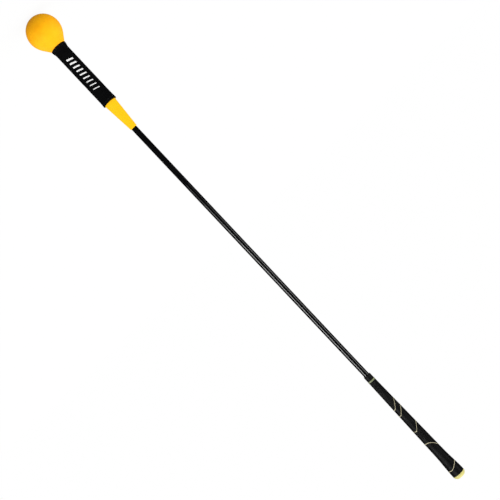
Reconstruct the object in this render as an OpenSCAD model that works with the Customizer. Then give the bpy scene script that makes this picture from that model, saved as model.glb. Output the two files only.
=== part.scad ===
// Swing trainer stick: a weighted rubber ball head, a flexible fibreglass shaft and a golf grip.
// The stick's axis is Z. The ball's lowest point is at z = 0, and the grip's butt is on top.
// The face that carries the printed bars looks along -Y, and the sleeve's seam is at the back, +Y.
// All sizes are in millimetres.

/* [Overall] */
// Length from the ball's tip to the top of the butt cap
total_l = 1219.2; // [1000:0.1:1300]

/* [Ball] */
// Largest diameter of the ball
ball_d = 70; // [68:0.1:73]
// Height of the ball's widest place above its tip
belly_z = 36; // [34:0.5:38]
// Height of the upper, egg-shaped half of the ball if it went on to a point
bulb_l = 39; // [37:0.5:41]
// Angle up the egg-shaped half at which it goes over into the straight neck
neck_turn = 38; // [32:1:42]
// Radius of the neck where it meets the sleeve's mouth
ball_neck_r = 16.5; // [15.5:0.1:16.8]
// Depth of the flange of the ball's threaded insert below the head weight
insert_l = 14; // [12:0.5:16]
// Radius of the insert's flange
insert_flange_r = 14; // [12:0.5:16]
// Thread radius of the stud that holds the ball on the weight
stud_r = 4; // [3:0.5:5]

/* [Sleeve] */
// Height of the sleeve's lower mouth above the ball's tip
sleeve_z = 76; // [75:0.1:77]
// Length of the sleeve
sleeve_l = 147.5; // [140:0.5:160]
// Outer diameter of the sleeve along its body
sleeve_d = 30; // [29.5:0.1:31]
// Thickness of the sleeve's fabric
sleeve_t = 2.4; // [2:0.1:2.5]
// How much the lower mouth's radius spreads over the ball's neck
mouth_flare = 1.9; // [1:0.1:2]
// How much the upper mouth's radius spreads
top_flare = 0.5; // [0.2:0.1:0.8]
// Width of the seam tape down the back of the sleeve
seam_w = 6; // [4:0.5:8]
// Thickness of the seam tape and of the sewing over it
seam_t = 0.6; // [0.4:0.1:0.8]

/* [Printed bars] */
// Number of slanted bars printed on the sleeve
bar_count = 9; // [5:1:10]
// Distance from one bar to the next
bar_pitch = 9.4; // [8:0.1:10]
// Height of a bar across the sleeve
bar_h = 13; // [8:0.5:16]
// Width of the widest bar, at the ball end
bar_w = 3.8; // [3:0.1:6]
// How far each bar leans along the sleeve
bar_lean = 4; // [0:0.5:6]
// Thickness of the printed film
print_t = 0.15; // [0.1:0.05:0.3]

/* [Head weight] */
// Radius of the steel bar inside the head
weight_r = 10; // [9:0.5:10]
// Height of the bar's lower end above the ball's tip
weight_z = 60; // [58:0.5:62]
// Length of the bar's full-thickness part
weight_l = 163; // [150:0.5:164]
// Radius of the socket neck that holds the shaft
weight_neck_r = 8; // [7.6:0.1:8.2]
// Length of the socket neck
weight_neck_l = 26; // [22:0.5:28]
// Depth of the socket that the shaft's tip is glued into
socket_l = 50; // [40:1:60]
// Radius of the cross pin through the socket and the shaft
pin_r = 1.5; // [1:0.1:1.6]

/* [Boot] */
// Length of the tapered boot above the sleeve
boot_l = 67.3; // [66:0.1:72]
// Diameter of the boot where it leaves the sleeve
boot_wide_d = 25.6; // [25.2:0.1:26]
// Diameter of the boot at its thin end
boot_thin_d = 15; // [14.8:0.1:17]
// Radius of the rounded lip at the thin end
boot_lip_r = 1.2; // [0.6:0.1:1.4]

/* [Shaft] */
// Diameter of the fibreglass rod
shaft_d = 12; // [11:0.1:12.2]
// Clearance of the ball and cup at each elastic hinge
hinge_gap = 0.3; // [0.2:0.05:0.5]

/* [Grip] */
// Length of the grip, with its cap
grip_l = 268.8; // [260:0.1:280]
// Diameter at the grip's mouth
mouth_d = 15.3; // [15:0.1:16]
// Diameter at the waist, before the grip widens to the butt
waist_d = 21.6; // [21:0.1:23]
// Diameter of the butt
butt_d = 26.4; // [25:0.1:28]
// Distance from the butt to the waist
waist_l = 58; // [50:1:70]
// Radius of the shoulders at the mouth
shoulder_r = 1.2; // [0.8:0.1:1.4]
// Height of the domed cap above the grip's rubber
cap_h = 8.7; // [7:0.1:10]
// Length of the cap's plug inside the grip
plug_l = 9; // [7:0.5:10]
// Radius of the vent hole through the cap
vent_r = 2; // [1.5:0.1:2.5]
// Thickness of the double-sided tape under the grip
tape_t = 0.25; // [0.2:0.05:0.3]
// Radius of the build-up tube at its lower and its upper end
adapter_thin_r = 6.7; // [6.6:0.1:6.9]
// Radius of the build-up tube at the butt
adapter_thick_r = 7.4; // [7:0.1:7.6]
// Height of the build-up tube's lower end above the grip's mouth
adapter_z = 62; // [50:1:80]

/* [Grip lines] */
// Width of the pale inlaid lines, along the grip
line_w = 1.1; // [0.8:0.1:2.5]
// Depth of the inlay
line_depth = 0.5; // [0.3:0.1:0.7]
// Height of the coloured ring above the mouth
ring_z = 12.2; // [9:0.1:16]
// Width of the coloured ring
ring_w = 3; // [2:0.1:5]

/* [Hidden] */
$fn = 96;
STEPS = 24;
FLARE_STEPS = 8;
SPANS = 6;
EPS = 0.01;

ball_r = ball_d / 2;
shaft_r = shaft_d / 2;
sleeve_r = sleeve_d / 2;
sleeve_top = sleeve_z + sleeve_l;
core_r = sleeve_r - sleeve_t;
boot_top = sleeve_top + boot_l;
grip_z = total_l - grip_l;
rubber_l = grip_l - cap_h;
rod_top = total_l - cap_h - plug_l - 1;
weight_top = weight_z + weight_l;
neck_top = weight_top + weight_neck_l;
rod_bottom = neck_top - socket_l;
pin_z = neck_top - weight_neck_l / 2;
spigot_top = sleeve_z + 42;
skirt_z = sleeve_top - 44;
span = (grip_z - boot_top) / SPANS;
cup_r = shaft_r + hinge_gap;
flare_l = 13;
bar_narrowing = 0.07;

// Each chevron: tip height above the mouth, tip's place across the grip from -1 to 1,
// and how far its two arms drop from the tip to the left and right edges.
CHEVRONS = [
    [84.7, 0.45, 20, -2],
    [101.7, 0.5, 18, 1],
    [144.5, 0.36, 18.5, 3],
    [245.4, 0.3, 10.7, -0.3],
];
// The arc: its height above the mouth at the right edge, and its rise to the left edge.
ARC = [175, 20];

// Height of elastic hinge n, counted from the grip
function hinge_z(n) = grip_z - (n - 0.5) * span;

function smooth(x) = x * x * (3 - 2 * x);

// Radius of the grip at a height t above its mouth
function grip_r(t) =
    let (rise = rubber_l - waist_l, up = mouth_d / 2, waist = waist_d / 2)
    t < rise
        ? up + (waist - up) * t / rise
        : waist + (butt_d / 2 - waist) * smooth((t - rise) / waist_l);

// Half of the ball's outline, from its tip to the sleeve's mouth
bulb_points = concat(
    [for (i = [0:STEPS]) let (a = 90 * i / STEPS) [ball_r * sin(a), belly_z * (1 - cos(a))]],
    [for (i = [1:STEPS])
        let (a = neck_turn * i / STEPS)
        [ball_r * cos(a), belly_z + bulb_l * sin(a)]],
    [[ball_neck_r, sleeve_z]]
);

// Radius of the sleeve's inside at a height h above its lower mouth
function sleeve_inner(h) =
    h < flare_l
        ? core_r + mouth_flare * smooth(1 - h / flare_l)
        : h > sleeve_l - flare_l
            ? core_r + top_flare * smooth(1 - (sleeve_l - h) / flare_l)
            : core_r;

// Heights above the lower mouth at which the sleeve's outline has its points
lower_h = [for (i = [0:FLARE_STEPS]) flare_l * i / FLARE_STEPS];
upper_h = [for (h = lower_h) sleeve_l - flare_l + h];

function wall_points(heights, out) = [for (h = heights) [sleeve_inner(h) + out, sleeve_z + h]];

// Points up the sleeve's wall, moved outward by the amount out, without the first and last skip points
function sleeve_wall(out, skip) =
    let (all = wall_points(concat(lower_h, upper_h), out))
    [for (i = [skip:len(all) - 1 - skip]) all[i]];

function reversed(list) = [for (i = [len(list) - 1:-1:0]) list[i]];

module tube(outer, inner, z0, z1) {
    translate([0, 0, z0])
        difference() {
            cylinder(r = outer, h = z1 - z0);
            translate([0, 0, -1])
                cylinder(r = inner, h = z1 - z0 + 2);
        }
}

module ball() {
    color([0.95, 0.72, 0.1])
        difference() {
            rotate_extrude()
                polygon(concat(
                    bulb_points,
                    wall_points(lower_h, 0),
                    [[core_r, spigot_top], [0, spigot_top]]
                ));
            translate([0, 0, weight_z])
                cylinder(r = weight_r, h = spigot_top);
            translate([0, 0, weight_z - insert_l])
                cylinder(r = insert_flange_r, h = 4);
            translate([0, 0, weight_z - insert_l])
                cylinder(r = stud_r + 3, h = insert_l + 1);
        }
}

module ball_insert() {
    color([0.75, 0.75, 0.72])
        difference() {
            union() {
                translate([0, 0, weight_z - insert_l])
                    cylinder(r = insert_flange_r, h = 4);
                translate([0, 0, weight_z - insert_l])
                    cylinder(r = stud_r + 3, h = insert_l);
            }
            translate([0, 0, weight_z - insert_l + 1])
                cylinder(r = stud_r, h = insert_l);
        }
}

module ball_stud() {
    color([0.6, 0.6, 0.62])
        translate([0, 0, weight_z - insert_l + 1])
            cylinder(r = stud_r, h = insert_l + 17);
}

module head_weight() {
    color([0.5, 0.5, 0.52])
        difference() {
            union() {
                translate([0, 0, weight_z])
                    cylinder(r = weight_r, h = weight_l);
                translate([0, 0, weight_z + weight_l - 1])
                    cylinder(r = weight_neck_r, h = weight_neck_l + 1);
            }
            translate([0, 0, weight_z - 1])
                cylinder(r = stud_r, h = 19);
            translate([0, 0, rod_bottom])
                cylinder(r = shaft_r, h = socket_l + 1);
            translate([0, 0, pin_z])
                rotate([90, 0, 0])
                    cylinder(r = pin_r, h = 2 * weight_r, center = true);
        }
}

module weight_pin() {
    color([0.4, 0.4, 0.42])
        translate([0, 0, pin_z])
            rotate([90, 0, 0])
                cylinder(r = pin_r, h = 2 * weight_neck_r - 0.4, center = true);
}

module weight_jacket() {
    color([0.25, 0.25, 0.25])
        tube(core_r, weight_r, spigot_top, skirt_z);
}

module sleeve() {
    color([0.06, 0.06, 0.07])
        rotate_extrude()
            polygon(concat(
                sleeve_wall(0, 0),
                reversed(sleeve_wall(sleeve_t, 0))
            ));
}

module sleeve_seam() {
    color([0.12, 0.12, 0.13])
        intersection() {
            rotate_extrude()
                polygon(concat(
                    sleeve_wall(sleeve_t, 1),
                    reversed(sleeve_wall(sleeve_t + seam_t, 1))
                ));
            translate([-seam_w / 2, 0, sleeve_z])
                cube([seam_w, sleeve_d, sleeve_l]);
        }
}

module sleeve_print() {
    first = sleeve_z + (sleeve_l - bar_pitch * (bar_count - 1)) / 2;
    color("white")
        intersection() {
            tube(sleeve_r + print_t, sleeve_r, sleeve_z + flare_l, sleeve_top - flare_l);
            union()
                for (i = [0:bar_count - 1])
                    let (w = bar_w * (1 - bar_narrowing * i))
                    translate([0, 0, first + i * bar_pitch])
                        rotate([90, 0, 0])
                            linear_extrude(sleeve_d)
                                polygon([
                                    [-bar_h / 2, bar_lean / 2 - w / 2],
                                    [bar_h / 2, -bar_lean / 2 - w / 2],
                                    [bar_h / 2, -bar_lean / 2 + w / 2],
                                    [-bar_h / 2, bar_lean / 2 + w / 2],
                                ]);
        }
}

module boot() {
    thin = boot_thin_d / 2;
    color([0.98, 0.8, 0.12])
        difference() {
            rotate_extrude()
                polygon(concat(
                    [[0, skirt_z], [core_r, skirt_z]],
                    [for (p = wall_points(upper_h, 0)) [min(p[0], boot_wide_d / 2), p[1]]],
                    [[boot_wide_d / 2, sleeve_top + 1]],
                    [for (i = [0:FLARE_STEPS])
                        let (a = 90 * i / FLARE_STEPS)
                        [thin - boot_lip_r * (1 - cos(a)), boot_top - boot_lip_r * (1 - sin(a))]],
                    [[0, boot_top]]
                ));
            translate([0, 0, skirt_z - 1])
                cylinder(r = weight_r, h = weight_top - skirt_z + 1);
            translate([0, 0, weight_top - 1])
                cylinder(r = weight_neck_r, h = weight_neck_l + 1);
            translate([0, 0, neck_top - 1])
                cylinder(r = shaft_r, h = boot_top);
        }
}

// One stretch of the rod. Its lower end is a cup and its upper end a ball, each centred on a hinge.
module shaft_section(n) {
    z1 = n == 1 ? rod_top : hinge_z(n - 1);
    z0 = n == SPANS + 1 ? rod_bottom : hinge_z(n);
    color([0.08, 0.08, 0.09])
        difference() {
            union() {
                translate([0, 0, z0])
                    cylinder(r = shaft_r, h = z1 - z0);
                if (n > 1)
                    translate([0, 0, z1])
                        sphere(r = shaft_r);
            }
            if (n <= SPANS)
                translate([0, 0, z0])
                    sphere(r = cup_r);
            if (n == SPANS + 1)
                translate([0, 0, pin_z])
                    rotate([90, 0, 0])
                        cylinder(r = pin_r, h = shaft_d + 2, center = true);
        }
}

module shaft_section_1() { shaft_section(1); }
module shaft_section_2() { shaft_section(2); }
module shaft_section_3() { shaft_section(3); }
module shaft_section_4() { shaft_section(4); }
module shaft_section_5() { shaft_section(5); }
module shaft_section_6() { shaft_section(6); }
module shaft_section_7() { shaft_section(7); }

// Outline of the space inside the grip, between its rubber and the axis
module grip_bore(extra) {
    top = rubber_l - plug_l;
    polygon([
        [0, -1],
        [shaft_r + extra, -1],
        [shaft_r + extra, adapter_z],
        [adapter_thin_r + extra, adapter_z],
        [adapter_thick_r + extra, top],
        [adapter_thick_r + extra, rubber_l + 1],
        [0, rubber_l + 1],
    ]);
}

// Outline of the grip's rubber, grown outward by the amount out
module grip_outline(out) {
    polygon(concat(
        [[0, 0]],
        [for (i = [0:4])
            let (a = 90 * i / 4)
            [grip_r(0) - shoulder_r * (1 - sin(a)) + out, shoulder_r * (1 - cos(a))]],
        [for (i = [1:STEPS]) let (t = rubber_l * i / STEPS) [grip_r(t) + out, t]],
        [[0, rubber_l]]
    ));
}

// The skin of the grip that the lines and the ring are let into
module grip_skin() {
    translate([0, 0, grip_z])
        rotate_extrude()
            difference() {
                grip_outline(0);
                grip_outline(-line_depth);
            }
}

// A stroke through the grip from front to back, along points that give a place across and a height
module stroke(points) {
    translate([0, butt_d, grip_z])
        rotate([90, 0, 0])
            linear_extrude(2 * butt_d)
                polygon(concat(
                    [for (p = points) [p[0], p[1] - line_w / 2]],
                    [for (p = reversed(points)) [p[0], p[1] + line_w / 2]]
                ));
}

module line_strokes() {
    for (c = CHEVRONS) {
        r = grip_r(c[0]) + 1;
        stroke([[-r, c[0] - c[2]], [r * c[1], c[0]], [r, c[0] - c[3]]]);
    }
    r = grip_r(ARC[0]) + 1;
    stroke([for (i = [0:10]) let (s = i / 10) [r * (1 - 2 * s), ARC[0] + ARC[1] * pow(s, 3)]]);
}

module ring_band() {
    translate([0, 0, grip_z + ring_z])
        cylinder(r = butt_d, h = ring_w);
}

module grip() {
    color([0.1, 0.1, 0.1])
        difference() {
            translate([0, 0, grip_z])
                rotate_extrude()
                    difference() {
                        grip_outline(0);
                        grip_bore(tape_t);
                    }
            intersection() {
                grip_skin();
                union() {
                    line_strokes();
                    ring_band();
                }
            }
        }
}

module grip_lines() {
    color([0.85, 0.82, 0.5])
        intersection() {
            grip_skin();
            line_strokes();
        }
}

module grip_ring() {
    color([0.7, 0.75, 0.4])
        intersection() {
            grip_skin();
            ring_band();
        }
}

module grip_tape() {
    color([0.85, 0.83, 0.75])
        translate([0, 0, grip_z])
            rotate_extrude()
                intersection() {
                    difference() {
                        grip_bore(tape_t);
                        grip_bore(0);
                    }
                    translate([0, 4])
                        square([butt_d, rubber_l - plug_l - 4]);
                }
}

module grip_adapter() {
    top = rubber_l - plug_l;
    color([0.7, 0.7, 0.68])
        translate([0, 0, grip_z])
            rotate_extrude()
                polygon([
                    [shaft_r, adapter_z],
                    [adapter_thin_r, adapter_z],
                    [adapter_thick_r, top],
                    [shaft_r, top],
                ]);
}

module butt_cap() {
    r = butt_d / 2;
    color([0.95, 0.92, 0.5])
        difference() {
            union() {
                translate([0, 0, grip_z + rubber_l])
                    rotate_extrude()
                        polygon(concat(
                            [[0, 0]],
                            [for (i = [0:STEPS])
                                let (a = 90 * i / STEPS)
                                [r * (vent_r / r + (1 - vent_r / r) * pow(cos(a), 0.6)), cap_h * sin(a)]],
                            [[0, cap_h]]
                        ));
                translate([0, 0, grip_z + rubber_l - plug_l])
                    cylinder(r = adapter_thick_r + tape_t, h = plug_l + EPS);
            }
            translate([0, 0, grip_z])
                cylinder(r = vent_r, h = grip_l + 1);
        }
}

ball();
ball_insert();
ball_stud();
head_weight();
weight_pin();
weight_jacket();
sleeve();
sleeve_seam();
sleeve_print();
boot();
shaft_section_1();
shaft_section_2();
shaft_section_3();
shaft_section_4();
shaft_section_5();
shaft_section_6();
shaft_section_7();
grip();
grip_tape();
grip_adapter();
grip_ring();
grip_lines();
butt_cap();
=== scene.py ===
import math

import bmesh
import bpy
from mathutils import Matrix, Vector, noise


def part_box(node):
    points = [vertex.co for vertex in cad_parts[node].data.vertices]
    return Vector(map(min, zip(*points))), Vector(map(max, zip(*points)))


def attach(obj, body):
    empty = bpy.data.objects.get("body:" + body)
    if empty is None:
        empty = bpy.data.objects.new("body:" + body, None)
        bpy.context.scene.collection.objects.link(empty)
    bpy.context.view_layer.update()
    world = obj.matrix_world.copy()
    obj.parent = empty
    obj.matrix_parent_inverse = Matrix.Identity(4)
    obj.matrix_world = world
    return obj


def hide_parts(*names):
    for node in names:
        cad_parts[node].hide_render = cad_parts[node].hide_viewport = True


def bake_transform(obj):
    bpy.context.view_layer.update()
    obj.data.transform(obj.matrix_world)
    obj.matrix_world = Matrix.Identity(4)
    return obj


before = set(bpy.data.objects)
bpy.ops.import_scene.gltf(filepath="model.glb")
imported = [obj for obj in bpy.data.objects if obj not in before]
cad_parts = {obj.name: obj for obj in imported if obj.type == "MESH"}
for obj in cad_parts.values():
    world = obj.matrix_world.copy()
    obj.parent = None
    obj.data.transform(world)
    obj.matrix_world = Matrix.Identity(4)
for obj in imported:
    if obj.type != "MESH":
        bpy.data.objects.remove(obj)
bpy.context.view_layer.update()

MM = 0.001
TURN = 2 * math.pi


def box_mm(node):
    """Lowest and highest corner of a CAD node, in millimetres."""
    low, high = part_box(node)
    return low / MM, high / MM


# Places and sizes read from the frame, in millimetres. The stick stands along Z, ball down.
BALL_R = box_mm("ball")[1].x
SPIGOT_TOP = box_mm("ball")[1].z
WEIGHT_Z = box_mm("head_weight")[0].z
NECK_TOP = box_mm("head_weight")[1].z
INSERT_Z = box_mm("ball_insert")[0].z
INSERT_FLANGE_R = box_mm("ball_insert")[1].x
WEIGHT_R = box_mm("head_weight")[1].x
SLEEVE_Z = box_mm("sleeve")[0].z
SLEEVE_TOP = box_mm("sleeve")[1].z
SKIRT_Z = box_mm("boot")[0].z
BOOT_TOP = box_mm("boot")[1].z
ROD_BOTTOM = box_mm("shaft_section_7")[0].z
ROD_TOP = box_mm("shaft_section_1")[1].z
SHAFT_R = box_mm("shaft_section_1")[1].x
GRIP_Z = box_mm("grip")[0].z
RUBBER_L = box_mm("grip")[1].z - GRIP_Z
BUTT_R = box_mm("grip")[1].x
CAP_TOP = box_mm("butt_cap")[1].z
PLUG_Z = box_mm("butt_cap")[0].z
RING_Z = box_mm("grip_ring")[0].z - GRIP_Z
RING_W = box_mm("grip_ring")[1].z - box_mm("grip_ring")[0].z
SLEEVE_L = SLEEVE_TOP - SLEEVE_Z

# Sizes that the boxes don't give, as the CAD source has them
BELLY_Z = 36
BULB_L = 39
NECK_TURN = math.radians(38)
BALL_NECK_R = 16.5
SLEEVE_T = 2.4
SLEEVE_R = 15
CORE_R = SLEEVE_R - SLEEVE_T
MOUTH_FLARE = 1.9
TOP_FLARE = 0.5
FLARE_L = 13
INSERT_FLANGE_T = 4
INSERT_R = 7
NECK_R = 8
WEIGHT_TOP = 223
BOOT_WIDE_R = 12.8
BOOT_THIN_R = 7.5
BOOT_LIP_R = 1.2
SPANS = 6
MOUTH_R = 7.65
WAIST_R = 10.8
WAIST_L = 58
SHOULDER_R = 1.2
LINE_W = 1.1
CHEVRONS = (
    (84.7, 0.45, 20, -2),
    (101.7, 0.5, 18, 1),
    (144.5, 0.36, 18.5, 3),
    (245.4, 0.3, 10.7, -0.3),
)
ARC_Z = 175
ARC_RISE = 20
TAPE_T = 0.25
ADAPTER_Z = 62
ADAPTER_THIN_R = 6.7
ADAPTER_THICK_R = 7.4
VENT_R = 2
BAR_COUNT = 9
BAR_PITCH = 9.4
BAR_H = 13
BAR_W = 3.8
BAR_NARROWING = 0.07
BAR_LEAN = 4
BAR_CORNER = 0.35
PRINT_T = 0.15
SEAM_W = 6
SEAM_T = 0.6


# ---------------------------------------------------------------- mesh helpers

def smooth(x):
    x = min(1.0, max(0.0, x))
    return x * x * (3 - 2 * x)


def bell(x, width):
    return math.exp(-((x / width) ** 2))


def polar(radius, angle, z):
    return (radius * math.cos(angle), radius * math.sin(angle), z)


def even_angles(count):
    return [TURN * i / count for i in range(count)]


def quarter(steps, first=0):
    """Even angles from nothing to a right angle."""
    return [math.pi / 2 * i / steps for i in range(first, steps + 1)]


def between(a, b, steps, first=0):
    """Even points of an outline on the straight line from a to b."""
    return [
        (a[0] + (b[0] - a[0]) * i / steps, a[1] + (b[1] - a[1]) * i / steps)
        for i in range(first, steps + 1)
    ]


def angles_with_line(count):
    """Even angles, with narrow columns added beside the mould line at 0 and 180 degrees."""
    extra = [
        side + math.radians(step)
        for side in (0, math.pi)
        for step in (-1.2, -0.8, -0.4, 0.4, 0.8, 1.2)
    ]
    return sorted(a % TURN for a in even_angles(count) + extra)


def turned(outline, angles, lift=None):
    """Rings of points from an outline of (radius, height). lift(angle, radius) adds to the radius."""
    rings = []
    for r, z in outline:
        if r == 0:
            rings.append([(0, 0, z)])
            continue
        rings.append([polar(r + (lift(a, r) if lift else 0), a, z) for a in angles])
    return rings


def loft(bm, rings, closed=False, caps=False):
    """Joins rings of points with faces. A ring of one point is a pole."""
    made = [[bm.verts.new(p) for p in ring] for ring in rings]
    pairs = list(zip(made, made[1:]))
    if closed:
        pairs.append((made[-1], made[0]))
    for a, b in pairs:
        count = max(len(a), len(b))
        for i in range(count):
            j = (i + 1) % count
            corners = (a[i % len(a)], a[j % len(a)], b[j % len(b)], b[i % len(b)])
            bm.faces.new(list(dict.fromkeys(corners)))
    if caps:
        for ring in (made[0], made[-1]):
            bm.faces.new(ring)


def sweep(bm, path, radius, sides=6):
    """A closed round thread along a path of points that lie round the stick's axis."""
    rings = []
    for i, here in enumerate(path):
        before = Vector(path[max(0, i - 1)])
        after = Vector(path[min(len(path) - 1, i + 1)])
        along = (after - before).normalized()
        out = Vector((here[0], here[1], 0)).normalized()
        side = along.cross(out).normalized()
        out = side.cross(along)
        rings.append([
            tuple(Vector(here) + radius * (math.cos(a) * out + math.sin(a) * side))
            for a in even_angles(sides)
        ])
    loft(bm, rings, caps=True)


def finished(name, bm, body, material, replaces=(), sharp=35):
    """Turns a mesh in millimetres into a piece in metres, with smooth faces and crisp corners."""
    bmesh.ops.recalc_face_normals(bm, faces=bm.faces)
    limit = math.radians(sharp)
    for face in bm.faces:
        face.smooth = True
    for edge in bm.edges:
        edge.smooth = edge.calc_face_angle(0) < limit
    bmesh.ops.scale(bm, vec=(MM, MM, MM), verts=bm.verts)
    mesh = bpy.data.meshes.new(name)
    bm.to_mesh(mesh)
    bm.free()
    piece = bpy.data.objects.new(name, mesh)
    bpy.context.scene.collection.objects.link(piece)
    mesh.materials.append(material)
    if replaces:
        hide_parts(*replaces)
    if body:
        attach(piece, body)
    return piece


# ---------------------------------------------------------------- material helpers

class Shader:
    """A node material with one Principled shader, and short calls for the nodes that feed it."""

    def __init__(self, name, **constants):
        self.material = bpy.data.materials.new(name)
        self.material.use_nodes = True
        self.tree = self.material.node_tree
        self.shader = self.tree.nodes["Principled BSDF"]
        for socket, value in constants.items():
            self.shader.inputs[socket.replace("_", " ")].default_value = value
        self.place = self.tree.nodes.new("ShaderNodeTexCoord").outputs["Object"]

    def node(self, kind, inputs, output=0, **settings):
        made = self.tree.nodes.new(kind)
        for key, value in settings.items():
            setattr(made, key, value)
        for socket, value in inputs.items():
            if isinstance(value, bpy.types.NodeSocket):
                self.tree.links.new(value, made.inputs[socket])
            else:
                made.inputs[socket].default_value = value
        return made.outputs[output]

    def math(self, operation, *values):
        return self.node("ShaderNodeMath", dict(enumerate(values)), operation=operation)

    def scaled(self, x=1, y=1, z=1):
        return self.node("ShaderNodeMapping", {"Vector": self.place, "Scale": (x, y, z)})

    def noise(self, scale, detail=3, roughness=0.5, place=None):
        return self.node(
            "ShaderNodeTexNoise",
            {"Vector": place or self.place, "Scale": scale, "Detail": detail, "Roughness": roughness},
        )

    def cells(self, scale, place=None, feature="F1", output=0):
        return self.node(
            "ShaderNodeTexVoronoi",
            {"Vector": place or self.place, "Scale": scale},
            output=output,
            feature=feature,
        )

    def spread(self, value, low, high, new_low=0, new_high=1):
        return self.node("ShaderNodeMapRange", {0: value, 1: low, 2: high, 3: new_low, 4: new_high})

    def mix(self, share, a, b):
        """A colour between a and b."""
        made = self.tree.nodes.new("ShaderNodeMix")
        made.data_type = "RGBA"
        for socket, value in ((0, share), (6, a), (7, b)):
            if isinstance(value, bpy.types.NodeSocket):
                self.tree.links.new(value, made.inputs[socket])
            elif socket:
                made.inputs[socket].default_value = (*value, 1)
            else:
                made.inputs[socket].default_value = value
        return made.outputs[2]

    def axes(self):
        made = self.tree.nodes.new("ShaderNodeSeparateXYZ")
        self.tree.links.new(self.place, made.inputs[0])
        return made.outputs

    def angle(self):
        x, y, _ = self.axes()
        return self.math("ARCTAN2", y, x)

    def bump(self, height, distance, strength=1.0, normal=None):
        inputs = {"Height": height, "Distance": distance, "Strength": strength}
        if normal is not None:
            inputs["Normal"] = normal
        return self.node("ShaderNodeBump", inputs)

    def set(self, **sockets):
        for socket, value in sockets.items():
            self.tree.links.new(value, self.shader.inputs[socket.replace("_", " ")])
        return self.material


def moulded_rubber(name, bright, deep, pore_size, scuffs):
    """Soft matt rubber with a fine pored skin, faint blotches and a few rubbed marks."""
    s = Shader(name, Specular_IOR_Level=0.06)
    blotch = s.spread(s.noise(28, 4, 0.55), 0.35, 0.7)
    colour = s.mix(blotch, bright, deep)
    speck = s.spread(s.noise(900, 2), 0.62, 0.75, 0, 0.35)
    colour = s.mix(speck, colour, deep)
    rubbed = s.spread(s.noise(60, 6, 0.65, s.scaled(1, 1, 0.35)), 0.62, 0.72, 0, scuffs)
    worn = tuple(0.9 * c + 0.06 for c in bright)
    colour = s.mix(rubbed, colour, worn)
    pores = s.cells(1 / pore_size, feature="SMOOTH_F1")
    skin = s.math("ADD", pores, s.math("MULTIPLY", s.noise(160, 4), 0.6))
    rough = s.spread(s.noise(75, 5), 0.3, 0.7, 0.48, 0.62)
    normal = s.bump(skin, 0.00009, 0.5)
    return s.set(Base_Color=colour, Roughness=rough, Normal=normal)


KNIT_WALES = 84
KNIT_COURSE = 0.00105


def knit_fabric():
    """Black knit-faced neoprene: rows of small V stitches with painted shade between them and painted sheen
    on their loops, a little fuzz and lint.
    """
    s = Shader("knit_fabric", Sheen_Weight=0.004, Sheen_Roughness=0.4, Specular_IOR_Level=0.05)
    wale = s.math("FRACT", s.math("MULTIPLY", s.angle(), KNIT_WALES / TURN))
    aside = s.math("ABSOLUTE", s.math("SUBTRACT", wale, 0.5))
    height = s.math("MULTIPLY", s.axes()[2], 1 / KNIT_COURSE)
    course = s.math("ADD", height, s.math("MULTIPLY", aside, 1.3))
    loop = s.math("ABSOLUTE", s.math("SINE", s.math("MULTIPLY", course, math.pi)))
    column = s.math("SINE", s.math("MULTIPLY", wale, math.pi))
    stitch = s.math("MULTIPLY", s.math("POWER", loop, 0.6), s.math("POWER", column, 0.5))
    fuzz = s.noise(2600, 4, 0.7)
    dust = s.spread(s.noise(45, 5, 0.6), 0.45, 0.75)
    # The stitch height also sets the colour: painted shade in the grooves between stitches, painted sheen on
    # the loops.
    colour = s.mix(stitch, (0.0002, 0.0002, 0.0004), (0.0028, 0.0028, 0.0034))
    colour = s.mix(s.math("MULTIPLY", dust, 0.3), colour, (0.0045, 0.0045, 0.005))
    lint = s.spread(s.noise(1400, 2), 0.73, 0.8, 0, 0.5)
    colour = s.mix(lint, colour, (0.03, 0.03, 0.031))
    rough = s.spread(fuzz, 0.3, 0.7, 0.78, 0.95)
    normal = s.bump(stitch, 0.00022, 0.8, s.bump(fuzz, 0.00005, 0.6))
    return s.set(Base_Color=colour, Roughness=rough, Normal=normal)


def sewing_thread(name, light, dark):
    """Twisted polyester thread, with painted shade between its plies and painted highlight on them."""
    s = Shader(name, Sheen_Weight=0.02, Sheen_Roughness=0.35, Specular_IOR_Level=0.2)
    x, y, z = s.axes()
    along = s.math("ADD", s.math("MULTIPLY", z, 5200), s.math("MULTIPLY", s.angle(), 75))
    twist = s.math("MULTIPLY_ADD", s.math("SINE", along), 0.5, 0.5)
    # The twist height also sets the colour: painted shade between the plies, painted highlight on them.
    colour = s.mix(twist, dark, light)
    rough = s.spread(s.noise(900, 3), 0.3, 0.7, 0.55, 0.75)
    return s.set(Base_Color=colour, Roughness=rough, Normal=s.bump(twist, 0.00006, 0.8))


def seam_cloth():
    """Black ribbed tape over the sleeve's seam, with painted shade between its ribs and painted highlight on
    their crests.
    """
    s = Shader("seam_cloth", Sheen_Weight=0.012, Sheen_Roughness=0.4, Specular_IOR_Level=0.1)
    ribs = s.math("SINE", s.math("MULTIPLY", s.axes()[2], TURN / 0.0009))
    ribs = s.math("MULTIPLY_ADD", ribs, 0.5, 0.5)
    # The rib height also sets the colour: painted shade in the hollows, painted highlight on the crests.
    colour = s.mix(ribs, (0.002, 0.002, 0.0024), (0.0085, 0.0085, 0.009))
    fuzz = s.noise(2200, 4, 0.7)
    rough = s.spread(fuzz, 0.3, 0.7, 0.75, 0.92)
    normal = s.bump(ribs, 0.0002, 0.7, s.bump(fuzz, 0.00005, 0.6))
    return s.set(Base_Color=colour, Roughness=rough, Normal=normal)


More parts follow.
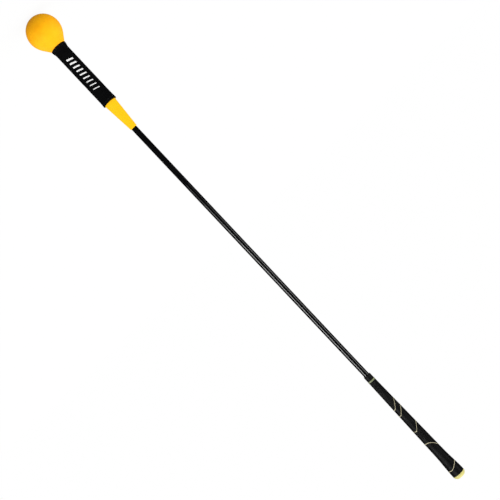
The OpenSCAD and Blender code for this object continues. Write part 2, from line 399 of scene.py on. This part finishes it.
def printed_film():
    """White printed film with fine cracks and a few worn specks that let the dark knit through."""
    s = Shader("printed_film", Specular_IOR_Level=0.4)
    cracks = s.cells(650, feature="DISTANCE_TO_EDGE")
    split = s.spread(cracks, 0.0, 0.035, 0.5, 0)
    chips = s.spread(s.noise(700, 4, 0.6), 0.68, 0.74, 0, 0.6)
    tone = s.mix(s.spread(s.noise(200, 3), 0.3, 0.7), (0.82, 0.82, 0.81), (0.74, 0.74, 0.73))
    gone = s.math("MAXIMUM", split, chips)
    colour = s.mix(gone, tone, (0.12, 0.12, 0.125))
    weave = s.math("SINE", s.math("MULTIPLY", s.axes()[2], TURN / KNIT_COURSE))
    rough = s.spread(s.noise(300, 3), 0.3, 0.7, 0.42, 0.6)
    return s.set(Base_Color=colour, Roughness=rough, Normal=s.bump(weave, 0.00004, 0.5))


def gloss_fibreglass():
    """Black pultruded rod under a clear gloss coat: long fine fibres and faint handling marks."""
    s = Shader(
        "gloss_fibreglass",
        Specular_IOR_Level=0.02,
        Coat_Weight=1.0,
        Coat_Roughness=0.04,
        Coat_IOR=1.5,
    )
    fibres = s.noise(1500, 3, 0.6, s.scaled(1, 1, 0.012))
    strands = s.spread(fibres, 0.4, 0.7)
    colour = s.mix(strands, (0.0008, 0.0008, 0.001), (0.0035, 0.0035, 0.0039))
    haze = s.spread(s.noise(35, 4, 0.6, s.scaled(1, 1, 0.25)), 0.5, 0.75, 0, 0.4)
    colour = s.mix(haze, colour, (0.006, 0.006, 0.0064))
    marks = s.noise(420, 5, 0.7, s.scaled(1, 1, 0.2))
    rough = s.spread(marks, 0.35, 0.75, 0.2, 0.36)
    normal = s.bump(fibres, 0.000015, 0.6)
    return s.set(Base_Color=colour, Roughness=rough, Normal=normal)


def grip_compound():
    """Black grip rubber with a dusty bloom, fine pebble grain and cord threads in it."""
    s = Shader("grip_compound", Specular_IOR_Level=0.11)
    bloom = s.spread(s.noise(55, 5, 0.6, s.scaled(1, 1, 0.5)), 0.35, 0.75)
    colour = s.mix(bloom, (0.0015, 0.0015, 0.0018), (0.0045, 0.0046, 0.005))
    grain = s.cells(1300, feature="SMOOTH_F1")
    speck = s.spread(s.noise(1700, 2), 0.6, 0.75, 0, 0.7)
    colour = s.mix(speck, colour, (0.014, 0.0143, 0.0135))
    rough = s.spread(s.noise(120, 4), 0.3, 0.7, 0.42, 0.6)
    fine = s.math("ADD", grain, s.noise(420, 4, 0.6))
    return s.set(Base_Color=colour, Roughness=rough, Normal=s.bump(fine, 0.00008, 0.6))


def painted_inlay(name, clean, grimy):
    """Pale rubber inlay with patches of grime and a fine grain."""
    s = Shader(name, Specular_IOR_Level=0.35)
    grime = s.spread(s.noise(190, 5, 0.6), 0.5, 0.8)
    colour = s.mix(grime, clean, grimy)
    pits = s.spread(s.noise(1500, 2), 0.72, 0.8, 0, 0.5)
    colour = s.mix(pits, colour, (0.08, 0.075, 0.04))
    rough = s.spread(s.noise(240, 3), 0.3, 0.7, 0.45, 0.62)
    return s.set(Base_Color=colour, Roughness=rough, Normal=s.bump(s.noise(1100, 3), 0.00004, 0.6))


def satin_cap():
    """Pale yellow moulded cap: satin skin, faint turning of the mould and small scuffs on the dome."""
    s = Shader("satin_cap", Specular_IOR_Level=0.35)
    x, y, _ = s.axes()
    reach = s.math("SQRT", s.math("ADD", s.math("MULTIPLY", x, x), s.math("MULTIPLY", y, y)))
    rings = s.math("SINE", s.math("MULTIPLY", reach, TURN / 0.0006))
    blotch = s.spread(s.noise(150, 4), 0.35, 0.7)
    colour = s.mix(blotch, (0.57, 0.52, 0.17), (0.51, 0.46, 0.14))
    scuff = s.spread(s.noise(320, 6, 0.7, s.scaled(1, 0.3, 1)), 0.6, 0.72, 0, 0.45)
    colour = s.mix(scuff, colour, (0.42, 0.38, 0.17))
    rough = s.spread(s.noise(500, 4), 0.3, 0.7, 0.35, 0.52)
    normal = s.bump(rings, 0.00001, 0.4, s.bump(s.noise(900, 3), 0.00003, 0.5))
    return s.set(Base_Color=colour, Roughness=rough, Normal=normal)


def turned_steel():
    """Zinc-plated steel bar with turning marks and dull patches."""
    s = Shader("turned_steel", Metallic=1.0)
    lathe = s.noise(2400, 2, 0.5, s.scaled(0.02, 0.02, 1))
    patch = s.spread(s.noise(90, 5, 0.6), 0.4, 0.7)
    colour = s.mix(patch, (0.6, 0.6, 0.61), (0.42, 0.42, 0.43))
    colour = s.mix(s.spread(lathe, 0.4, 0.7, 0, 0.4), colour, (0.3, 0.3, 0.31))
    rough = s.spread(lathe, 0.3, 0.7, 0.25, 0.45)
    return s.set(Base_Color=colour, Roughness=rough, Normal=s.bump(lathe, 0.00003, 0.6))


def closed_foam():
    """Dark closed-cell foam rubber, with painted shade in the hollow of each cell."""
    s = Shader("closed_foam", Specular_IOR_Level=0.2)
    cells = s.cells(1100)
    # Each cell is darker at its centre, where the bump makes a hollow: painted shade.
    colour = s.mix(s.spread(cells, 0.0, 0.6), (0.008, 0.008, 0.008), (0.045, 0.045, 0.046))
    rough = s.spread(s.noise(300, 3), 0.3, 0.7, 0.8, 0.95)
    return s.set(Base_Color=colour, Roughness=rough, Normal=s.bump(cells, 0.0002, 0.8))


def crepe_tape():
    """Double-sided paper tape with crepe wrinkles across it, and painted shade in the wrinkles' hollows."""
    s = Shader("crepe_tape", Specular_IOR_Level=0.25)
    crepe = s.noise(900, 4, 0.6, s.scaled(0.25, 0.25, 1))
    # The wrinkle height also sets the colour: painted shade in the hollows, lighter on the folds.
    colour = s.mix(s.spread(crepe, 0.35, 0.65), (0.7, 0.66, 0.52), (0.84, 0.82, 0.72))
    rough = s.spread(crepe, 0.3, 0.7, 0.65, 0.8)
    return s.set(Base_Color=colour, Roughness=rough, Normal=s.bump(crepe, 0.00006, 0.7))


def extruded_tube():
    """Off-white extruded plastic with draw lines along it, and painted shade between the raised lines."""
    s = Shader("extruded_tube", Specular_IOR_Level=0.4)
    lines = s.noise(1600, 2, 0.5, s.scaled(1, 1, 0.02))
    # The line height also sets the colour: lighter on the raised lines, painted shade between them.
    colour = s.mix(s.spread(lines, 0.35, 0.65), (0.52, 0.52, 0.5), (0.66, 0.66, 0.63))
    rough = s.spread(s.noise(200, 3), 0.3, 0.7, 0.35, 0.5)
    return s.set(Base_Color=colour, Roughness=rough, Normal=s.bump(lines, 0.00003, 0.5))


BALL_SKIN = moulded_rubber("ball_skin", (0.9, 0.415, 0.004), (0.82, 0.335, 0.002), 0.0007, 0.1)
BOOT_SKIN = moulded_rubber("boot_skin", (0.92, 0.5, 0.005), (0.9, 0.465, 0.004), 0.0006, 0.1)
KNIT = knit_fabric()
SEAM_CLOTH = seam_cloth()
# The thread's lighter and darker colours are the painted highlight and painted shade of its twist.
BLACK_THREAD = sewing_thread("black_thread", (0.014, 0.014, 0.0155), (0.004, 0.004, 0.0047))
FILM = printed_film()
ROD_GLOSS = gloss_fibreglass()
GRIP_BLACK = grip_compound()
PALE_LINE = painted_inlay("pale_line", (0.54, 0.485, 0.31), (0.38, 0.335, 0.2))
PALE_RING = painted_inlay("pale_ring", (0.19, 0.215, 0.105), (0.11, 0.125, 0.065))
CAP_SKIN = satin_cap()
STEEL = turned_steel()
FOAM = closed_foam()
TAPE = crepe_tape()
TUBE = extruded_tube()


# ---------------------------------------------------------------- head

MOULD_RISE = 0.15
MOULD_LINE_W = 0.3
BELLY_STEPS = 44
BULB_STEPS = 28
CONE_STEPS = 16


def mould_line(angle, radius):
    """The raised line where the two halves of a mould met, on a skin set back by as much."""
    off = abs((angle + math.pi / 2) % math.pi - math.pi / 2)
    return MOULD_RISE * bell(radius * off, MOULD_LINE_W) - MOULD_RISE


def sleeve_inner(height):
    """Radius of the sleeve's inside at a height above its lower mouth."""
    if height < FLARE_L:
        return CORE_R + MOUTH_FLARE * smooth(1 - height / FLARE_L)
    if height > SLEEVE_L - FLARE_L:
        return CORE_R + TOP_FLARE * smooth(1 - (SLEEVE_L - height) / FLARE_L)
    return CORE_R


def make_ball():
    """The bulb: an egg-shaped skin that turns into a cone below the sleeve, and a neck inside it."""
    lower = [
        (BALL_R * math.sin(a), BELLY_Z * (1 - math.cos(a)))
        for a in quarter(BELLY_STEPS)
    ]
    upper = []
    for i in range(1, BULB_STEPS + 1):
        a = NECK_TURN * i / BULB_STEPS
        upper.append((BALL_R * math.cos(a), BELLY_Z + BULB_L * math.sin(a)))
    upper += between(upper[-1], (BALL_NECK_R, SLEEVE_Z), CONE_STEPS, 1)
    neck = [(sleeve_inner(h), SLEEVE_Z + h) for h in range(0, FLARE_L + 1)]
    inside = [
        (CORE_R, SPIGOT_TOP),
        (WEIGHT_R, SPIGOT_TOP),
        (WEIGHT_R, WEIGHT_Z),
        (INSERT_R, WEIGHT_Z),
        (INSERT_R, INSERT_Z + INSERT_FLANGE_T),
        (INSERT_FLANGE_R, INSERT_Z + INSERT_FLANGE_T),
        (INSERT_FLANGE_R, INSERT_Z),
        (0, INSERT_Z),
    ]
    angles = angles_with_line(128)
    bm = bmesh.new()
    loft(bm, turned(lower + upper, angles, mould_line) + turned(neck + inside, angles))
    return finished("ball_shell", bm, "head_body", BALL_SKIN, ["ball"])


BOOT_STEP = 1
TAPER_STEPS = 40
LIP_STEPS = 8


def make_boot():
    """The tapered boot, with its skirt under the sleeve and a rounded lip round the rod."""
    skirt = [
        (WEIGHT_R, SKIRT_Z),
        (CORE_R, SKIRT_Z),
        (CORE_R, SLEEVE_TOP - FLARE_L),
        (BOOT_WIDE_R, SLEEVE_TOP - BOOT_STEP),
    ]
    wide_end = (BOOT_WIDE_R, SLEEVE_TOP + BOOT_STEP)
    thin_end = (BOOT_THIN_R, BOOT_TOP - BOOT_LIP_R)
    lip = [
        (
            BOOT_THIN_R - BOOT_LIP_R * (1 - math.cos(a)),
            BOOT_TOP - BOOT_LIP_R * (1 - math.sin(a)),
        )
        for a in quarter(LIP_STEPS, 1)
    ]
    seen = between(wide_end, thin_end, TAPER_STEPS) + lip
    inside = [
        (SHAFT_R, BOOT_TOP),
        (SHAFT_R, NECK_TOP),
        (NECK_R, NECK_TOP),
        (NECK_R, WEIGHT_TOP),
        (WEIGHT_R, WEIGHT_TOP),
    ]
    angles = angles_with_line(96)
    bm = bmesh.new()
    rings = turned(skirt[:-1], angles) + turned(skirt[-1:] + seen, angles, mould_line)
    loft(bm, rings + turned(inside, angles), closed=True)
    return finished("boot_shell", bm, "head_body", BOOT_SKIN, ["boot"])


HEM_L = 7.6
HEM_RISE = 0.1
HEM_ROUND = 0.9
HEM_SOFT = 0.9
STITCH_ROWS = (3.0, 5.2)
STITCH_DIP = 0.2
STITCH_DIP_W = 0.5
SWELL = 0.11
RIPPLE = 0.04


def sleeve_skin(angle, z):
    """Outer radius of the sleeve, with its folded hems, sewn rows and slight unevenness."""
    height = z - SLEEVE_Z
    edge = min(height, SLEEVE_L - height)
    radius = sleeve_inner(height) + SLEEVE_T
    radius += HEM_RISE * (1 - smooth((edge - HEM_L) / HEM_SOFT))
    radius -= sum(STITCH_DIP * bell(edge - row, STITCH_DIP_W) for row in STITCH_ROWS)
    if edge < HEM_ROUND:
        radius -= HEM_ROUND - math.sqrt(HEM_ROUND ** 2 - (HEM_ROUND - edge) ** 2)
    swell = noise.noise(Vector((1.4 * math.cos(angle), 1.4 * math.sin(angle), z / 17)))
    ripple = noise.noise(Vector((3 * math.cos(angle), 3 * math.sin(angle), z / 5 + 40)))
    return radius + (SWELL * swell + RIPPLE * ripple) * smooth(edge / 10)


def make_sleeve():
    """The knit tube, with close rows of points at its hems and a plain lining."""
    fine = [0, 0.08, 0.22] + [0.45 + 0.35 * i for i in range(26)]
    middle_l = SLEEVE_L - 2 * fine[-1]
    rows = 110
    middle = [fine[-1] + middle_l * i / rows for i in range(1, rows)]
    heights = fine + middle + [SLEEVE_L - h for h in reversed(fine)]
    angles = even_angles(160)
    outer = [
        [polar(sleeve_skin(a, SLEEVE_Z + h), a, SLEEVE_Z + h) for a in angles]
        for h in heights
    ]
    flare = range(0, FLARE_L + 1)
    lining = sorted({*flare, *(SLEEVE_L - h for h in flare)}, reverse=True)
    inner = turned([(sleeve_inner(h), SLEEVE_Z + h) for h in lining], angles)
    bm = bmesh.new()
    loft(bm, outer + inner, closed=True)
    return finished("sleeve_knit", bm, "head_body", KNIT, ["sleeve"], sharp=60)


STITCHES = 30
STITCH_SHARE = 0.8
STITCH_R = 0.2
STITCH_SHAPE = ((0, -0.12), (0.12, 0.1), (0.5, 0.2), (0.88, 0.1), (1, -0.12))


def make_hem_stitches():
    """Two rows of short stitches round each hem. Each rises from the cloth and dips back into it."""
    bm = bmesh.new()
    for row in STITCH_ROWS:
        for z in (SLEEVE_Z + row, SLEEVE_TOP - row):
            for n in range(STITCHES):
                start = TURN * (n + 0.1) / STITCHES
                path = []
                for step, rise in STITCH_SHAPE:
                    a = start + step * TURN * STITCH_SHARE / STITCHES
                    path.append(polar(sleeve_skin(a, z) + rise, a, z))
                sweep(bm, path, STITCH_R)
    return finished("sleeve_hem_stitches", bm, "head_body", BLACK_THREAD, sharp=60)


def seam_crown(across):
    """Height of the seam tape above the sleeve, at a place from -1 to 1 across it."""
    return 0.12 + (SEAM_T - 0.22) * math.sqrt(max(0.0, 1 - across ** 4))


def make_seam_tape():
    """The tape over the seam at the back, crowned and following the sleeve."""
    half = SEAM_W / 2 / SLEEVE_R
    low = SLEEVE_Z + 1.2
    length = SLEEVE_L - 2.4
    rows = 140
    bm = bmesh.new()
    rings = []
    for i in range(rows + 1):
        z = low + length * i / rows
        ring = []
        for step in range(-6, 7):
            a = math.pi / 2 + half * step / 6
            ring.append(polar(sleeve_skin(a, z) + seam_crown(step / 6), a, z))
        for step in (6, 0, -6):
            a = math.pi / 2 + half * step / 6
            ring.append(polar(sleeve_skin(a, z) - 0.1, a, z))
        rings.append(ring)
    loft(bm, rings, caps=True)
    return finished("sleeve_seam_tape", bm, "head_body", SEAM_CLOTH, ["sleeve_seam"])


SEAM_PITCH = 2.3
SEAM_THREAD_R = 0.17
SEAM_STITCH = ((0.05, -0.14), (0.18, 0.06), (0.5, 0.12), (0.82, 0.06), (0.95, -0.14))
ZIGZAG = ((0, -0.72, 0.02), (0.12, -0.5, 0.08), (0.5, 0.5, 0.08), (0.62, 0.72, 0.02))


def make_seam_threads():
    """The flatlock sewing over the tape: a zigzag between two straight rows."""
    half = SEAM_W / 2 / SLEEVE_R
    low = SLEEVE_Z + 2
    length = SLEEVE_L - 4
    turns = int(length / SEAM_PITCH)

    def point(z, across, rise):
        a = math.pi / 2 + half * across
        return polar(sleeve_skin(a, z) + seam_crown(across) + rise, a, z)

    bm = bmesh.new()
    zigzag = [
        point(low + (n + part) * SEAM_PITCH, across, rise)
        for n in range(turns)
        for part, across, rise in ZIGZAG
    ]
    sweep(bm, zigzag, SEAM_THREAD_R)
    for across in (-0.74, 0.74):
        for n in range(turns):
            z = low + n * SEAM_PITCH
            path = [point(z + step * SEAM_PITCH, across, rise) for step, rise in SEAM_STITCH]
            sweep(bm, path, SEAM_THREAD_R)
    return finished("sleeve_seam_threads", bm, "head_body", BLACK_THREAD, sharp=60)


def make_print():
    """Slanted bars of printed film that follow the sleeve's skin."""
    first = SLEEVE_Z + (SLEEVE_L - BAR_PITCH * (BAR_COUNT - 1)) / 2
    columns = 16
    rows = 6
    bm = bmesh.new()
    for n in range(BAR_COUNT):
        width = BAR_W * (1 - BAR_NARROWING * n)
        middle = first + n * BAR_PITCH

        def spot(u, v, rise):
            """A point of the bar. u runs along it and v across it, both from -1 to 1."""
            corner = BAR_CORNER * max(0.0, (abs(u) - 0.9) / 0.1) ** 2
            x = u * BAR_H / 2
            z = middle - BAR_LEAN / 2 * u + v * (width / 2 - corner)
            a = -math.pi / 2 + math.asin(x / SLEEVE_R)
            return polar(sleeve_skin(a, z) + rise, a, z)

        inner = [-0.9 + 1.8 * i / columns for i in range(columns + 1)]
        us = [-1, -0.97, -0.94] + inner + [0.94, 0.97, 1]
        vs = [-1 + 2 * i / rows for i in range(rows + 1)]
        rings = [
            [spot(u, v, PRINT_T) for v in vs] + [spot(u, v, -0.05) for v in reversed(vs)]
            for u in us
        ]
        loft(bm, rings, caps=True)
    return finished("sleeve_print_bars", bm, "head_body", FILM, ["sleeve_print"])


# ---------------------------------------------------------------- shaft


def rod_mesh(low, high, rows):
    bm = bmesh.new()
    outline = between((SHAFT_R, low), (SHAFT_R, high), rows)
    loft(bm, turned(outline, even_angles(64)), caps=True)
    return bm


def rod_piece(name, low, high, rows, body, stands_for):
    return finished(name, rod_mesh(low, high, rows), body, ROD_GLOSS, stands_for)


def make_shaft():
    """The rod: its ends ride in the grip and in the head, and the spans between are separate pieces that no
    body carries.
    """
    sections = [f"shaft_section_{n}" for n in range(1, SPANS + 2)]
    bodies = ["grip_body"] + [f"shaft_body_{n}" for n in range(2, SPANS + 1)] + ["head_body"]
    span = (GRIP_Z - BOOT_TOP) / SPANS
    rod_piece("shaft_butt", GRIP_Z, ROD_TOP, 6, bodies[0], sections[:1])
    rod_piece("shaft_tip", ROD_BOTTOM, BOOT_TOP, 6, bodies[-1], sections[-1:])
    for n in range(SPANS):
        top = GRIP_Z - n * span
        bottom = top - span
        stands_for = sections[n + 1:n + 2] if n < SPANS - 1 else []
        piece = rod_piece(f"shaft_span_{n + 1}", bottom, top, 40, None, stands_for)
        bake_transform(piece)


# ---------------------------------------------------------------- grip

LINE_SOFT = 0.07
DIAMONDS = 32
DIAMOND_L = 3.6
DIAMOND_CUT = 0.36
RIB_WAVES = 12
RIB_PITCH = 2.4
RIB_CUT = 0.32


def grip_radius(t):
    """Radius of the grip at a height above its mouth."""
    rise = RUBBER_L - WAIST_L
    if t < rise:
        return MOUTH_R + (WAIST_R - MOUTH_R) * t / rise
    return WAIST_R + (BUTT_R - WAIST_R) * smooth((t - rise) / WAIST_L)


def ease(x):
    """Zero below nothing and x above it, with a soft bend between."""
    return LINE_SOFT * math.log1p(math.exp(x / LINE_SOFT))


def chevron_height(chevron, x):
    """Height of a chevron's line above the grip's mouth, at a place x across the grip."""
    tip_z, tip_x, left, right = chevron
    across = x / (grip_radius(tip_z) + 1)
    left_slope = left / (1 + tip_x)
    right_slope = right / (1 - tip_x)
    rounding = LINE_SOFT * math.log(2) * (left_slope + right_slope) * 0.6
    return tip_z + rounding - left_slope * ease(tip_x - across) - right_slope * ease(across - tip_x)


def arc_height(x):
    reach = grip_radius(ARC_Z) + 1
    return ARC_Z + ARC_RISE * ((1 - x / reach) / 2) ** 3


def line_heights(x):
    """Heights of the five lines at a place x across the grip, from the mouth up."""
    first, second, third, last = (chevron_height(c, x) for c in CHEVRONS)
    return first, second, third, arc_height(x), last


def relief(angle, t):
    """Height of the grip's moulded texture: diamonds, plain bands and wavy ribs between the lines."""
    x = grip_radius(t) * math.cos(angle)
    heights = line_heights(x)
    zone = sum(t > h for h in heights)
    nearest = min(abs(t - h) for h in heights)
    fade = smooth((nearest - 1.6) / 1.2) * smooth((t - RING_Z - RING_W - 2) / 2)
    fade *= smooth((RUBBER_L - 3 - t) / 3)
    if fade == 0 or zone in (1, 5):
        return 0
    if zone in (0, 3):
        one = math.cos(DIAMONDS * angle + TURN * t / DIAMOND_L)
        two = math.cos(DIAMONDS * angle - TURN * t / DIAMOND_L)
        return -DIAMOND_CUT * fade * smooth((max(one, two) - 0.35) / 0.6)
    wave = 0.9 * abs((angle * RIB_WAVES / math.pi) % 2 - 1)
    rib = math.cos(TURN * (t / RIB_PITCH + wave))
    return -RIB_CUT * fade * smooth((rib + 0.2) / 1.1)


def make_grip():
    """The grip's rubber: a rounded mouth, the textured outside and a bore that steps out for the adapter."""
    shoulder = [
        (MOUTH_R - SHOULDER_R * (1 - math.sin(a)), SHOULDER_R * (1 - math.cos(a)))
        for a in quarter(6)
    ]
    rows = 436
    angles = even_angles(192)
    rings = [[polar(r, a, GRIP_Z + t) for a in angles] for r, t in shoulder]
    for i in range(1, rows + 1):
        t = SHOULDER_R + (RUBBER_L - SHOULDER_R) * i / rows
        rings.append([polar(grip_radius(t) + relief(a, t), a, GRIP_Z + t) for a in angles])
    plug_t = PLUG_Z - GRIP_Z
    inside = [
        (ADAPTER_THICK_R + TAPE_T, RUBBER_L),
        (ADAPTER_THICK_R + TAPE_T, plug_t),
        (ADAPTER_THIN_R + TAPE_T, ADAPTER_Z),
        (SHAFT_R + TAPE_T, ADAPTER_Z),
        (SHAFT_R + TAPE_T, 0),
    ]
    rings += turned([(r, GRIP_Z + t) for r, t in inside], angles)
    bm = bmesh.new()
    loft(bm, rings, closed=True)
    return finished("grip_rubber", bm, "grip_body", GRIP_BLACK, ["grip"], sharp=50)


INLAY_RISE = 0.14
INLAY_DEPTH = 0.45


def band_ring(angle, centre, width):
    """One cross-section of a crowned band let into the grip, centred at a height above the mouth."""
    ring = []
    for step in range(-4, 5):
        t = centre + width / 2 * step / 4
        ring.append(polar(grip_radius(t) + INLAY_RISE * (1 - (step / 4) ** 4) + 0.01, angle, GRIP_Z + t))
    for step in (4, -4):
        t = centre + width / 2 * step / 4
        ring.append(polar(grip_radius(t) - INLAY_DEPTH, angle, GRIP_Z + t))
    return ring


def make_lines():
    """Five pale lines inlaid round the grip."""
    bm = bmesh.new()
    angles = even_angles(180)
    for n in range(5):
        rings = []
        for a in angles:
            near = ARC_Z if n == 3 else CHEVRONS[n if n < 3 else 3][0]
            centre = line_heights(grip_radius(near) * math.cos(a))[n]
            rings.append(band_ring(a, centre, LINE_W))
        loft(bm, rings, closed=True)
    return finished("grip_line_inlays", bm, "grip_body", PALE_LINE, ["grip_lines"], sharp=50)


def make_ring():
    """The pale ring let into the grip near its mouth."""
    bm = bmesh.new()
    rings = [band_ring(a, RING_Z + RING_W / 2, RING_W) for a in even_angles(128)]
    loft(bm, rings, closed=True)
    return finished("grip_ring_band", bm, "grip_body", PALE_RING, ["grip_ring"], sharp=50)


DOME_STEPS = 28
DOME_POWER = 0.6


def make_cap():
    """The domed cap, its vent hole with a soft edge, and the plug inside the grip."""
    base = GRIP_Z + RUBBER_L
    dome_h = CAP_TOP - base
    hole = VENT_R / BUTT_R
    dome = [
        (BUTT_R * (hole + (1 - hole) * math.cos(a) ** DOME_POWER), base + dome_h * math.sin(a))
        for a in quarter(DOME_STEPS)[:-1]
    ]
    vent = [
        (VENT_R + 1.1, CAP_TOP),
        (VENT_R + 0.5, CAP_TOP - 0.12),
        (VENT_R + 0.12, CAP_TOP - 0.45),
        (VENT_R, CAP_TOP - 0.9),
        (VENT_R, PLUG_Z),
        (ADAPTER_THICK_R + TAPE_T, PLUG_Z),
        (ADAPTER_THICK_R + TAPE_T, base),
    ]
    bm = bmesh.new()
    loft(bm, turned(dome + vent, even_angles(128)), closed=True)
    return finished("butt_cap_dome", bm, "grip_body", CAP_SKIN, ["butt_cap"], sharp=40)


# ---------------------------------------------------------------- hidden CAD parts, floor, light, camera

def dress_hidden_parts():
    """The parts inside keep their CAD shapes and get full materials."""
    wear = {
        "ball_insert": STEEL,
        "ball_stud": STEEL,
        "head_weight": STEEL,
        "weight_pin": STEEL,
        "weight_jacket": FOAM,
        "grip_tape": TAPE,
        "grip_adapter": TUBE,
    }
    for node, material in wear.items():
        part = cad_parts[node]
        for held in part.material_slots:
            held.material = material


def by_ray(tree, kind, yes, no):
    """A shader that is yes for one kind of light ray and no for the others."""
    path = tree.nodes.new("ShaderNodeLightPath")
    made = tree.nodes.new("ShaderNodeMixShader")
    tree.links.new(path.outputs[kind], made.inputs[0])
    tree.links.new(no, made.inputs[1])
    tree.links.new(yes, made.inputs[2])
    return made.outputs[0]


def emission(tree, strength):
    """A plain white glow."""
    made = tree.nodes.new("ShaderNodeEmission")
    made.inputs["Strength"].default_value = strength
    return made.outputs[0]


FLOOR_SIZE = 30
FLOOR_SEEN = 0.93
FLOOR_SHADE = 0.036
FLOOR_LIGHT = 0.52
FLOOR_GLOSS = 0.01


def make_floor():
    """A plain white floor: nearly shadowless to the eye, a soft light from below, dark in reflections."""
    bm = bmesh.new()
    bmesh.ops.create_grid(bm, x_segments=8, y_segments=8, size=FLOOR_SIZE)
    mesh = bpy.data.meshes.new("floor")
    bm.to_mesh(mesh)
    bm.free()
    floor = bpy.data.objects.new("floor", mesh)
    bpy.context.scene.collection.objects.link(floor)
    paint = bpy.data.materials.new("floor_paint")
    paint.use_nodes = True
    tree = paint.node_tree
    tree.nodes.clear()
    matt = tree.nodes.new("ShaderNodeBsdfDiffuse")
    matt.inputs["Color"].default_value = (FLOOR_SHADE, FLOOR_SHADE, FLOOR_SHADE, 1)
    seen = tree.nodes.new("ShaderNodeAddShader")
    tree.links.new(matt.outputs[0], seen.inputs[0])
    tree.links.new(emission(tree, FLOOR_SEEN), seen.inputs[1])
    unseen = by_ray(tree, "Is Glossy Ray", emission(tree, FLOOR_GLOSS), emission(tree, FLOOR_LIGHT))
    shown = by_ray(tree, "Is Camera Ray", seen.outputs[0], unseen)
    out = tree.nodes.new("ShaderNodeOutputMaterial")
    tree.links.new(shown, out.inputs["Surface"])
    mesh.materials.append(paint)


SKY_SEEN = 1.0
SKY_TOP = 2.15
SKY_SIDE = 1.8
GLOSS_FRONT = 0.05
GLOSS_BACK = 0.01


def make_world():
    """White to the eye, soft light for colours, and for gloss a dim front in dark surroundings."""
    world = bpy.data.worlds.new("studio")
    bpy.context.scene.world = world
    world.use_nodes = True
    tree = world.node_tree
    tree.nodes.clear()
    place = tree.nodes.new("ShaderNodeTexCoord")
    split = tree.nodes.new("ShaderNodeSeparateXYZ")
    tree.links.new(place.outputs["Generated"], split.inputs[0])

    def background(direction, start, end):
        """Light that goes from start, level or behind, to end, straight along one direction."""
        ramp = tree.nodes.new("ShaderNodeMapRange")
        tree.links.new(split.outputs[direction[-1]], ramp.inputs[0])
        ramp.inputs[2].default_value = -1 if direction[0] == "-" else 1
        ramp.inputs[3].default_value = start
        ramp.inputs[4].default_value = end
        made = tree.nodes.new("ShaderNodeBackground")
        made.inputs["Color"].default_value = (1, 1, 1, 1)
        tree.links.new(ramp.outputs[0], made.inputs["Strength"])
        return made.outputs[0]

    diffuse = background("+Z", SKY_SIDE, SKY_TOP)
    glossy = background("-Y", GLOSS_BACK, GLOSS_FRONT)
    seen = background("+Z", SKY_SEEN, SKY_SEEN)
    unseen = by_ray(tree, "Is Glossy Ray", glossy, diffuse)
    out = tree.nodes.new("ShaderNodeOutputWorld")
    tree.links.new(by_ray(tree, "Is Camera Ray", seen, unseen), out.inputs["Surface"])


# Softboxes: name, degrees from the camera towards +X, width in metres, brightness in watts a square metre
STRIPS = (("strip_right", 47.5, 0.3, 54), ("strip_left", -56, 0.25, 24))
STRIP_FAR = 1.5
STRIP_TOP = 1.96
# Height of each piece's foot and its share of the brightness
STRIP_STEPS = ((0.32, 0.15), (0.41, 0.4), (0.5, 0.7), (0.59, 1.0))


def strip_light(name, degrees, width, brightness):
    """A tall narrow softbox beside the camera, turned this far from it towards +X, seen only in gloss.

    It is built of pieces that get dimmer towards its foot, so that the highlight on the rod fades out.
    """
    a = math.radians(degrees)
    tops = [low for low, _ in STRIP_STEPS[1:]] + [STRIP_TOP]
    for n, ((low, share), top) in enumerate(zip(STRIP_STEPS, tops)):
        data = bpy.data.lights.new(f"{name}_{n}", "AREA")
        data.shape = "RECTANGLE"
        data.size = width
        data.size_y = top - low
        data.energy = brightness * share * width * (top - low)
        light = bpy.data.objects.new(f"{name}_{n}", data)
        bpy.context.scene.collection.objects.link(light)
        light.location = (STRIP_FAR * math.sin(a), -STRIP_FAR * math.cos(a), (low + top) / 2)
        light.rotation_euler = (math.pi / 2, 0, a)
        light.visible_camera = False
        light.visible_diffuse = False


def make_lights():
    for strip in STRIPS:
        strip_light(*strip)


# The frame's width at the stick, the point looked at, and the stick's direction in the frame
LENS = 80
SENSOR = 36
FRAME_WIDTH = 0.97114
AIM_X = -0.00153
AIM_Z = 0.61823
AXIS_RIGHT = 0.6849
AXIS_DOWN = 0.7287


def make_camera():
    """Looks level along +Y, rolled so that the stick runs from the top left to the bottom right."""
    data = bpy.data.cameras.new("camera")
    data.lens = LENS
    data.sensor_width = SENSOR
    data.clip_end = 100
    camera = bpy.data.objects.new("camera", data)
    bpy.context.scene.collection.objects.link(camera)
    right = Vector((-AXIS_DOWN, 0, AXIS_RIGHT))
    up = Vector((-AXIS_RIGHT, 0, -AXIS_DOWN))
    back = Vector((0, -1, 0))
    turn = Matrix((right, up, back)).transposed().to_4x4()
    away = FRAME_WIDTH * LENS / SENSOR
    camera.matrix_world = Matrix.Translation((AIM_X, -away, AIM_Z)) @ turn
    bpy.context.scene.camera = camera


make_camera()
make_ball()
make_boot()
SLEEVE = make_sleeve()
SEWN = [make_hem_stitches(), make_seam_tape(), make_seam_threads(), make_print()]
make_shaft()
make_grip()
make_lines()
make_ring()
make_cap()
dress_hidden_parts()
make_floor()
make_world()
make_lights()
bpy.context.scene.view_settings.view_transform = "Standard"
